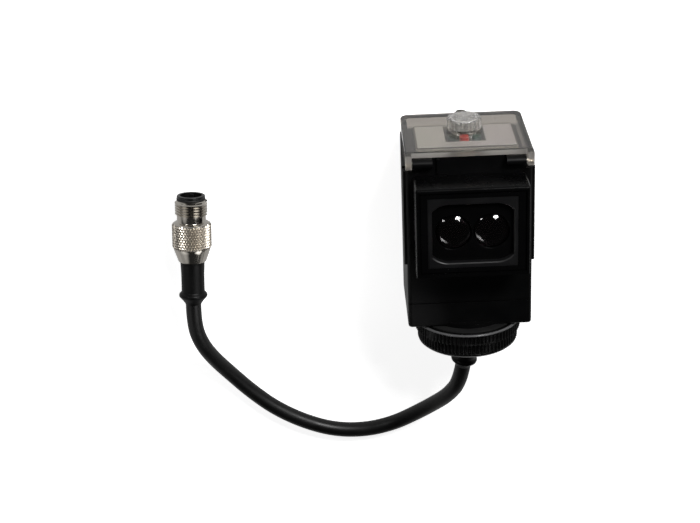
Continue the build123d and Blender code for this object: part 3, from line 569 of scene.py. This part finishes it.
# ---------------------------------------------------------------- boards and light parts
# Green glass-fibre boards: one behind the lens barrels with the emitter and the receiver diode, one along
# the body with a driver block, two cans and two chips, and one under the adjusters.
board_green = moulded("board_green", (0.010, 0.060, 0.026), (0.016, 0.085, 0.036),
                      smooth=0.28, rough=0.42, scale=500.0, depth=0.06)
carried(board_green, "optics_board", "main_board", "control_board")
component_black = moulded("component_black", (0.010, 0.010, 0.011), (0.020, 0.020, 0.021),
                          smooth=0.45, rough=0.62, scale=1500.0, depth=0.15)
carried(component_black, "board_parts", "trimmer_bodies")
emitter_epoxy = moulded("emitter_epoxy", (0.55, 0.56, 0.62), (0.65, 0.66, 0.72),
                        smooth=0.05, rough=0.12, scale=300.0, depth=0.02, Transmission_Weight=0.7, IOR=1.52)
carried(emitter_epoxy, "emitter_led")
receiver_epoxy = moulded("receiver_epoxy", (0.010, 0.007, 0.014), (0.016, 0.010, 0.020),
                         smooth=0.06, rough=0.14, scale=300.0, depth=0.02)
carried(receiver_epoxy, "receiver_diode")


# ---------------------------------------------------------------- deck and label
# Light grey moulded deck with a sunk pocket for the adjusters, darker in its depth as painted shade. A bare
# satin film label with a thin dark edge band of painted shade is stuck on it round the pocket.
SUNK_FROM, SUNK_TO = 0.4 * MM, 1.6 * MM                 # below the deck's top
# painted shade: the grey that the pocket's depth is darkened to
POCKET_SHADE_GREY = (0.045, 0.048, 0.042, 1)


def paint_pocket_shade(material, top):
    """Painted shade: darkens what lies sunk under a height in the pocket, where shade falls."""
    tree = material.node_tree
    shader = tree.nodes["Principled BSDF"]
    place = add_node(tree, "ShaderNodeSeparateXYZ", {0: add_node(tree, "ShaderNodeTexCoord").outputs["Object"]})
    sunk = add_node(tree, "ShaderNodeMapRange", {
        "Value": place.outputs[1], "From Min": top - SUNK_TO, "From Max": top - SUNK_FROM,
        "To Min": 1.0, "To Max": 0.0})
    tone = shader.inputs["Base Color"].links[0].from_socket
    shaded_tone = add_node(tree, "ShaderNodeMix", {0: sunk.outputs[0], 6: tone, 7: POCKET_SHADE_GREY}, data_type="RGBA")
    tree.links.new(shaded_tone.outputs[2], shader.inputs["Base Color"])


deck_grey = moulded("deck_grey", (0.155, 0.158, 0.140), (0.195, 0.198, 0.178),
                    smooth=0.40, rough=0.56, scale=900.0, depth=0.12)
# painted shade in the deck's pocket
paint_pocket_shade(deck_grey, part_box("control_deck")[1][1])
keep("deck_moulding", whole_faces("control_deck"), deck_grey, "sensor_body", ["control_deck"],
     rounding=0.12 * MM)

# painted shade: a thin dark band along the label's edge, where the cover's walls shade it
BORDER_SHADE_BLACK = (0.035, 0.035, 0.038, 1)
DRIFT_END = 0.4             # where the film's tone is all the right one, of the way from its middle to its edge


def film(name, left, right, shade_border):
    """Satin film that drifts from one tone to another across the label, with a dark rim of painted shade along
    its edge.
    """
    material = moulded(name, left, right, smooth=0.34, rough=0.48, scale=1800.0, depth=0.05)
    tree = material.node_tree
    shader = tree.nodes["Principled BSDF"]
    low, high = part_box("label_plate")
    place = add_node(tree, "ShaderNodeSeparateXYZ", {0: add_node(tree, "ShaderNodeTexCoord").outputs["Object"]})
    drift = add_node(tree, "ShaderNodeMapRange", {
        "Value": place.outputs[0], "From Min": low[0], "From Max": high[0] * DRIFT_END,
        "To Min": 0.0, "To Max": 1.0})
    across = add_node(tree, "ShaderNodeMath", {0: place.outputs[0]}, operation="ABSOLUTE")
    middle = (low[2] + high[2]) / 2
    along = add_node(tree, "ShaderNodeMath", {0: place.outputs[2], 1: middle}, operation="SUBTRACT")
    along = add_node(tree, "ShaderNodeMath", {0: along.outputs[0]}, operation="ABSOLUTE")
    rim_x = add_node(tree, "ShaderNodeMath", {0: across.outputs[0], 1: high[0] - shade_border},
                     operation="GREATER_THAN")
    rim_z = add_node(tree, "ShaderNodeMath", {0: along.outputs[0], 1: (high[2] - low[2]) / 2 - shade_border},
                     operation="GREATER_THAN")
    rim = add_node(tree, "ShaderNodeMath", {0: rim_x.outputs[0], 1: rim_z.outputs[0]}, operation="MAXIMUM")
    ground = add_node(tree, "ShaderNodeMix", {0: drift.outputs[0], 6: (*left, 1), 7: (*right, 1)},
                      data_type="RGBA")
    with_shade = add_node(tree, "ShaderNodeMix", {0: rim.outputs[0], 6: ground.outputs[2], 7: BORDER_SHADE_BLACK},
                       data_type="RGBA")
    tree.links.new(with_shade.outputs[2], shader.inputs["Base Color"])
    return material


# the label's dark edge band is painted shade
label_film = film("label_film", (0.46, 0.49, 0.49), (0.48, 0.485, 0.53), shade_border=0.35 * MM)
carried(label_film, "label_plate")


# ---------------------------------------------------------------- adjusters
# Three small slotted rotors in coloured nylon stand side by side in the pocket, each on a stem that turns
# in the body below: a selector, then the sensitivity, then the delay.
ROTORS = [
    ("mode_rotor", "mode_adjuster", "mode_plastic",
     (0.008, 0.022, 0.020), (0.014, 0.034, 0.030)),
    ("sensitivity_rotor", "sensitivity_adjuster", "sensitivity_plastic",
     (0.42, 0.016, 0.010), (0.55, 0.030, 0.020)),
    ("delay_rotor", "delay_adjuster", "delay_plastic",
     (0.012, 0.040, 0.038), (0.020, 0.060, 0.056)),
]
for node, body, slot, dark, light in ROTORS:
    nylon = moulded(slot + "_nylon", dark, light, smooth=0.30, rough=0.44, scale=1500.0, depth=0.08)
    keep(node + "_head", whole_faces(node), nylon, body, [node], rounding=0.10 * MM)


# ---------------------------------------------------------------- indicator lamps
# Three 3 mm lamps of clear epoxy with domed tops, each round a dark cup, on steel legs through the deck.
# They stand up into the dome.
LAMP_RADIUS, LAMP_FOOT, LAMP_TOP, LAMP_STEPS = 1.5 * MM, 63.4 * MM, 69.4 * MM, 8
LEG_RADIUS, LEG_FOOT, LEG_TOP, LEG_STEP = 0.25 * MM, 56.0 * MM, 63.5 * MM, 0.9
CUP_SECTION = [(0, 65.2), (0.45, 65.2), (1.05, 68.6), (0, 68.6)]
LAMP_PLACES = [(-2.5, 14.9), (3.1, 14.9), (0.3, 12.1)]
lamp_epoxy = moulded("lamp_epoxy", (0.84, 0.84, 0.81), (0.92, 0.92, 0.89),
                     smooth=0.04, rough=0.10, scale=400.0, depth=0.02, Transmission_Weight=0.9, IOR=1.40)
UP_BODY = Matrix.Translation((0, foot_y, 0)) @ Matrix.Rotation(-pi / 2, 4, "X")      # local Z up the body


def on_deck(section, x, z, around):
    """Turned form standing on the deck at (x, z) millimetres, its heights from the body's bottom face."""
    form = turned(section, around)
    form.transform(Matrix.Translation((x * MM, 0, z * MM)) @ UP_BODY)
    return form


tip_turns = [pi / 2 * i / LAMP_STEPS for i in range(LAMP_STEPS)]
lamp_section = [(0, LAMP_FOOT), (LAMP_RADIUS, LAMP_FOOT)]
lamp_section += [(LAMP_RADIUS * cos(turn), LAMP_TOP - LAMP_RADIUS + LAMP_RADIUS * sin(turn))
                 for turn in tip_turns]
lamp_section += [(0, LAMP_TOP)]
leg_section = [(0, LEG_FOOT), (LEG_RADIUS, LEG_FOOT), (LEG_RADIUS, LEG_TOP), (0, LEG_TOP)]
cup_section = [(radius * MM, height * MM) for radius, height in CUP_SECTION]
lamps, cups = [], []
for x, z in LAMP_PLACES:
    lamps += [on_deck(lamp_section, x, z, around=40), on_deck(leg_section, x - LEG_STEP, z, around=12),
              on_deck(leg_section, x + LEG_STEP, z, around=12)]
    cups.append(on_deck(cup_section, x, z, around=24))
keep("lamp_set", together(*lamps), lamp_epoxy, "sensor_body", ["indicator_leds"])
keep("lamp_cups", together(*cups), component_black, "sensor_body")


# ---------------------------------------------------------------- cover screw
# Captive M3 screw with a slotted head, dulled to a dark olive. It holds the cover shut in a brass insert
# pressed into the housing.
screw_olive = moulded("screw_olive", (0.050, 0.045, 0.030), (0.110, 0.098, 0.070),
                      smooth=0.34, rough=0.52, scale=700.0, depth=0.10, Metallic=1.0)
keep("screw_head", whole_faces("cover_screw"), screw_olive, "screw", ["cover_screw"],
     rounding=0.10 * MM)
brass = moulded("brass", (0.42, 0.32, 0.15), (0.52, 0.40, 0.19),
                smooth=0.30, rough=0.45, scale=500.0, depth=0.05, Metallic=1.0)
carried(brass, "cover_insert")


# ---------------------------------------------------------------- clear cover and dome
# One clear polycarbonate moulding with skirts round the deck and a satin front edge, hinged on two pins at
# its ears. A hollow clear dome with a folded side and a ringed ceiling is pressed into it over the lamps.
SATIN_ROUGH = 0.5
WAVE_SCALE = 700.0
LIGHT_PASSED = 0.9          # share of the lamps' light that goes on to what lies under the plastic


def clear(name, tint, smooth, rough, ior, satin_from=None, depth=0.0, through=1.0):
    """Clear plastic, faintly wavy by its depth, and satin above a height if one is given."""
    material = moulded(name, tint, tint, smooth, rough, WAVE_SCALE, depth, Transmission_Weight=through, IOR=ior)
    tree = material.node_tree
    shader = tree.nodes["Principled BSDF"]
    if satin_from:
        place = add_node(tree, "ShaderNodeTexCoord").outputs["Object"]
        height = add_node(tree, "ShaderNodeSeparateXYZ", {0: place}).outputs[2]
        edge = add_node(tree, "ShaderNodeMath", {0: height, 1: satin_from}, operation="GREATER_THAN").outputs[0]
        even = shader.inputs["Roughness"].links[0].from_socket
        satin = add_node(tree, "ShaderNodeMix", {0: edge, 2: even, 3: SATIN_ROUGH}, data_type="FLOAT")
        tree.links.new(satin.outputs[0], shader.inputs["Roughness"])
    rays = add_node(tree, "ShaderNodeLightPath")
    share = add_node(tree, "ShaderNodeMath", {0: rays.outputs["Is Shadow Ray"], 1: LIGHT_PASSED},
                     operation="MULTIPLY")
    open_way = add_node(tree, "ShaderNodeBsdfTransparent", {"Color": (*tint, 1)})
    mixed = add_node(tree, "ShaderNodeMixShader",
                     {0: share.outputs[0], 1: shader.outputs[0], 2: open_way.outputs[0]})
    tree.links.new(mixed.outputs[0], tree.nodes["Material Output"].inputs["Surface"])
    return material


PLATE_FRONT = 38.8 * MM                                 # the plate's front edge above the table
cover_clear = clear("cover_clear", (0.76, 0.72, 0.67), smooth=0.02, rough=0.07, ior=1.42,
                    satin_from=PLATE_FRONT - 0.4 * MM)
keep("cover_moulding", whole_faces("clear_cover"), cover_clear, "cover", ["clear_cover"],
     rounding=0.22 * MM)

dome_clear = clear("dome_clear", (0.97, 0.96, 0.94), smooth=0.06, rough=0.16, ior=1.50, depth=0.45,
                   through=0.94)
DOME_RADIUS, DOME_TOP, DOME_ROUND = 6.25 * MM, 71.4 * MM, 1.3 * MM
DOME_BORE, DOME_NECK, DOME_FOOT, DOME_SHOULDER = 5.0 * MM, 5.93 * MM, 65.5 * MM, 67.4 * MM
CEILING, RING_DEEP, RING_WIDE, RINGS = 70.25, 0.3, 0.5, 9     # the ceiling's rings, in millimetres
DOME_PLACE = (0.3 * MM, 0, 14.3 * MM)
DOME_FOLDS, DOME_FOLD = 12, 0.45 * MM
FOLD_START, FOLD_GROWS = 68.0 * MM, 1.5 * MM
ROUND_STEPS = 10
round_turns = [pi / 2 * i / ROUND_STEPS for i in range(ROUND_STEPS + 1)]
shoulder = [(DOME_RADIUS - DOME_ROUND + DOME_ROUND * cos(turn), DOME_TOP - DOME_ROUND + DOME_ROUND * sin(turn))
            for turn in round_turns]
ceiling = [(RING_WIDE * (RINGS - i) * MM, (CEILING + RING_DEEP * (i % 2)) * MM) for i in range(RINGS + 1)]
dome = turned([(DOME_BORE, DOME_FOOT), (DOME_NECK, DOME_FOOT), (DOME_NECK, DOME_SHOULDER),
               (DOME_RADIUS, DOME_SHOULDER)] + shoulder + [(0, DOME_TOP)] + ceiling[::-1]
              + [(DOME_BORE, CEILING * MM)], around=96)
for vert in dome.verts:
    off = Vector((vert.co.x, vert.co.y))
    if off.length > DOME_BORE and vert.co.z > FOLD_START:
        fold = min(1.0, (vert.co.z - FOLD_START) / FOLD_GROWS) * DOME_FOLD
        off *= 1 - fold * (0.5 - 0.5 * cos(DOME_FOLDS * atan2(off.y, off.x))) / off.length
        vert.co.x, vert.co.y = off.x, off.y
dome.transform(Matrix.Translation(DOME_PLACE) @ UP_BODY)
keep("dome_moulding", dome, dome_clear, "cover", ["indicator_dome"])


# ---------------------------------------------------------------- strain relief
# Black elastomer moulded onto the lead: a foot held inside the hub's end and a boot that leans with the
# lead, flanged near its end.
RELIEF_START = Vector((0.15 * MM, -34.5 * MM, HUB_Z))
RELIEF_LEAN = Vector((-0.13, -1.0, -0.21)).normalized()
relief_place = axis_frame(RELIEF_START, RELIEF_LEAN.orthogonal().normalized(), RELIEF_LEAN)
RELIEF_SECTION = [
    (0, -1.2), (4.3, -1.2), (4.5, 1.2), (4.42, 3.5), (4.30, 6.0), (4.18, 8.2), (4.22, 8.9), (4.5, 9.25),
    (4.75, 9.6), (4.85, 9.95), (4.75, 10.3), (4.45, 10.6), (4.0, 10.95), (3.5, 11.7), (3.15, 12.4),
    (2.95, 12.9), (0, 12.9),
]
RELIEF_FOOT = [(0, 6.6), (6.6, 6.6), (6.6, 8.6), (4.8, 8.6), (4.8, 11.2), (0, 11.2)]
boot_black = moulded("boot_black", (0.0012, 0.0012, 0.0012), (0.0026, 0.0026, 0.0026),
                     smooth=0.36, rough=0.50, scale=1400.0, depth=0.12, Specular_IOR_Level=0.20)
relief = turned([(radius * MM, place * MM) for radius, place in RELIEF_SECTION], around=72)
relief.transform(relief_place)
relief_foot = turned([(radius * MM, place * MM) for radius, place in RELIEF_FOOT], around=72)
relief_foot.transform(hub_place)
keep("relief_moulding", together(relief, relief_foot), boot_black, "sensor_body",
     ["strain_relief"], rounding=0.08 * MM, angle=38.0)


# ---------------------------------------------------------------- plug boot
# The same elastomer over the plug's end: a plain barrel, a flared flange for the fingers and a short taper
# onto the lead.
PLUG_LENGTH = 41.8 * MM
PLUG_DROOP, PLUG_SWING = radians(7.84), radians(2.3)
plug_way = Vector((sin(PLUG_SWING) * cos(PLUG_DROOP), cos(PLUG_SWING) * cos(PLUG_DROOP), -sin(PLUG_DROOP)))
plug_nose = Vector(LEAD_ROUTE[-1]) * MM + plug_way * PLUG_LENGTH
plug_place = axis_frame(plug_nose, Vector((cos(PLUG_SWING), -sin(PLUG_SWING), 0)), plug_way)


def on_plug(stations, around=96):
    """Turned plug form from its (millimetres behind the nose, radius) stations."""
    form = turned([(radius * MM, -back * MM) for back, radius in stations], around)
    form.transform(plug_place)
    return form


BOOT_SECTION = [
    (27.7, 0), (27.7, 3.45), (25.1, 3.45), (25.1, 4.5), (26.5, 4.46), (30.0, 4.3), (33.5, 4.28), (36.6, 4.3),
    (37.1, 4.5), (37.4, 4.85), (37.75, 5.15), (38.2, 5.27), (38.6, 5.22), (38.95, 5.0), (39.4, 4.6),
    (40.1, 4.0), (40.9, 3.4), (41.5, 3.05), (41.8, 2.95), (41.8, 0),
]
keep("boot_moulding", on_plug(BOOT_SECTION), boot_black, "sensor_body", ["plug_boot"],
     rounding=0.08 * MM, angle=38.0)


# ---------------------------------------------------------------- coupling sleeve
# Nickel-plated brass sleeve, turned, threaded M12 x 1 and knurled in diamonds, that turns freely on the
# insert between its collar and the boot.
POINT_BLUNT = 0.16                                      # a point's top, of its foot


def knurl_tree():
    """Diamond knurl: blunt four-sided points in staggered rows round a sleeve."""
    tree, given = new_tree("diamond_knurl", ("Around", "Int"), ("Rows", "Int"), ("Core Radius", "Float"),
                           ("Length", "Float"), ("Height", "Float"), ("Finish", "Material"))
    index = add_node(tree, "GeometryNodeInputIndex").outputs[0]
    row = reckon(tree, "FLOOR", reckon(tree, "DIVIDE", reckon(tree, "ADD", index, 0.5), given["Around"]))
    step = reckon(tree, "SUBTRACT", index, reckon(tree, "MULTIPLY", row, given["Around"]))
    odd = reckon(tree, "MULTIPLY", reckon(tree, "MODULO", row, 2.0), 0.5)
    turn = reckon(tree, "DIVIDE", 2 * pi, given["Around"])
    angle = reckon(tree, "MULTIPLY", reckon(tree, "ADD", step, odd), turn)
    pitch = reckon(tree, "DIVIDE", given["Length"], given["Rows"])
    way = add_node(tree, "ShaderNodeCombineXYZ", {
        "X": reckon(tree, "COSINE", angle), "Y": reckon(tree, "SINE", angle)}).outputs[0]
    rise = add_node(tree, "ShaderNodeCombineXYZ", {
        "Z": reckon(tree, "MULTIPLY", reckon(tree, "ADD", row, 0.5), pitch)}).outputs[0]
    spot = add_node(tree, "ShaderNodeVectorMath", {0: way, "Scale": given["Core Radius"]},
                    operation="SCALE").outputs[0]
    place = add_node(tree, "ShaderNodeVectorMath", {0: spot, 1: rise}, operation="ADD").outputs[0]
    points = add_node(tree, "GeometryNodePoints", {
        "Count": reckon(tree, "MULTIPLY", given["Around"], given["Rows"]), "Position": place})
    point = add_node(tree, "GeometryNodeMeshCone", {
        "Vertices": 4, "Side Segments": 1, "Fill Segments": 1, "Radius Top": POINT_BLUNT, "Radius Bottom": 1.0,
        "Depth": 1.0}, fill_type="NGON")
    facing = add_node(tree, "FunctionNodeAxesToRotation", {
        "Primary Axis": way, "Secondary Axis": (0, 0, 1)}, primary_axis="Z", secondary_axis="Y")
    across = reckon(tree, "MULTIPLY", reckon(tree, "MULTIPLY", turn, given["Core Radius"]), 0.5)
    size = add_node(tree, "ShaderNodeCombineXYZ", {"X": across, "Y": pitch, "Z": given["Height"]}).outputs[0]
    spread = add_node(tree, "GeometryNodeInstanceOnPoints", {
        "Points": points.outputs[0], "Instance": point.outputs[0], "Rotation": facing.outputs[0],
        "Scale": size})
    return close_tree(tree, spread.outputs[0], given["Finish"])


# Lengths here run back from the plug's nose.
SATIN_FRONT, SATIN_BACK = 10.7 * MM, 19.7 * MM
KNURL_ROUGH = 0.38
KNURL_NICKEL = (0.56, 0.51, 0.44, 1)


def nickel_finish():
    """Warm nickel plate, bright where it is turned and satin where the knurl is rolled."""
    material = moulded("nickel", (0.50, 0.47, 0.42), (0.62, 0.585, 0.53),
                       smooth=0.13, rough=0.22, scale=700.0, depth=0.04, Metallic=1.0)
    tree = material.node_tree
    shader = tree.nodes["Principled BSDF"]
    even = shader.inputs["Roughness"].links[0].from_socket
    place = add_node(tree, "ShaderNodeTexCoord").outputs["Object"]
    off = add_node(tree, "ShaderNodeVectorMath", {0: place, 1: plug_nose}, operation="SUBTRACT").outputs[0]
    back = add_node(tree, "ShaderNodeVectorMath", {0: off, 1: -plug_way},
                    operation="DOT_PRODUCT").outputs["Value"]
    start = add_node(tree, "ShaderNodeMath", {0: back, 1: SATIN_FRONT}, operation="GREATER_THAN").outputs[0]
    end = add_node(tree, "ShaderNodeMath", {0: back, 1: SATIN_BACK}, operation="LESS_THAN").outputs[0]
    rolled = add_node(tree, "ShaderNodeMath", {0: start, 1: end}, operation="MULTIPLY").outputs[0]
    rough = add_node(tree, "ShaderNodeMix", {0: rolled, 2: even, 3: KNURL_ROUGH}, data_type="FLOAT")
    tree.links.new(rough.outputs[0], shader.inputs["Roughness"])
    tone = shader.inputs["Base Color"].links[0].from_socket
    warm = add_node(tree, "ShaderNodeMix", {0: rolled, 6: tone, 7: KNURL_NICKEL}, data_type="RGBA")
    tree.links.new(warm.outputs[2], shader.inputs["Base Color"])
    return material


SLEEVE_SECTION = [
    (1.8, 4.66), (1.8, 5.2), (2.1, 5.42), (7.6, 5.42), (7.6, 5.35), (9.6, 5.35), (9.9, 5.5), (10.2, 6.3),
    (10.6, 6.8), (19.8, 6.8), (20.1, 6.8), (20.4, 6.75), (21.2, 6.5), (23.0, 5.85), (24.6, 5.3), (25.0, 5.1),
    (25.0, 4.66),
]
M12_RADIUS, M12_PITCH, M12_DEPTH, M12_TURNS, M12_END = 6.0 * MM, 1.0 * MM, 0.6 * MM, 5.0, 7.2 * MM
KNURL_AROUND, KNURL_ROWS, KNURL_RADIUS = 40, 9, 6.82 * MM
KNURL_LENGTH, KNURL_HEIGHT, KNURL_END = 8.6 * MM, 0.45 * MM, 19.5 * MM
nickel = nickel_finish()
sleeve_thread = grown(THREAD, plug_place @ Matrix.Translation((0, 0, -M12_END)), crest_radius=M12_RADIUS,
                      depth=M12_DEPTH, pitch=M12_PITCH, turns=M12_TURNS, finish=nickel)
sleeve_knurl = grown(knurl_tree(), plug_place @ Matrix.Translation((0, 0, -KNURL_END)), around=KNURL_AROUND,
                     rows=KNURL_ROWS, core_radius=KNURL_RADIUS, length=KNURL_LENGTH, height=KNURL_HEIGHT,
                     finish=nickel)
keep("coupling_sleeve", together(on_plug(SLEEVE_SECTION), sleeve_thread, sleeve_knurl), nickel, "coupling",
     ["coupling_screw"])


# ---------------------------------------------------------------- insert, pins and seal ring
# Black contact carrier with a key rib, four gold-plated pins inside its cup, and a rubber ring round its
# nose that seals against the socket.
insert_black = moulded("insert_black", (0.0025, 0.0025, 0.0027), (0.0050, 0.0050, 0.0053),
                       smooth=0.30, rough=0.44, scale=1300.0, depth=0.08)
keep("insert_moulding", whole_faces("plug_insert"), insert_black, "sensor_body",
     ["plug_insert"], rounding=0.08 * MM)
pin_gold = moulded("pin_gold", (0.80, 0.58, 0.22), (0.88, 0.66, 0.30),
                   smooth=0.16, rough=0.28, scale=500.0, depth=0.02, Metallic=1.0)
carried(pin_gold, "contact_pins")
SEAL_BACK, SEAL_RADIUS, SEAL_LONG, SEAL_THICK, SEAL_STEPS = 1.35, 4.95, 0.40, 0.37, 16
seal_turns = [2 * pi * i / SEAL_STEPS for i in range(SEAL_STEPS)]
round_section = [(SEAL_BACK + SEAL_LONG * sin(turn), SEAL_RADIUS + SEAL_THICK * cos(turn))
                 for turn in seal_turns]
keep("seal_ring", on_plug(round_section), seal_black, "sensor_body", ["plug_o_ring"])

bpy.context.scene.view_settings.view_transform = "Standard"
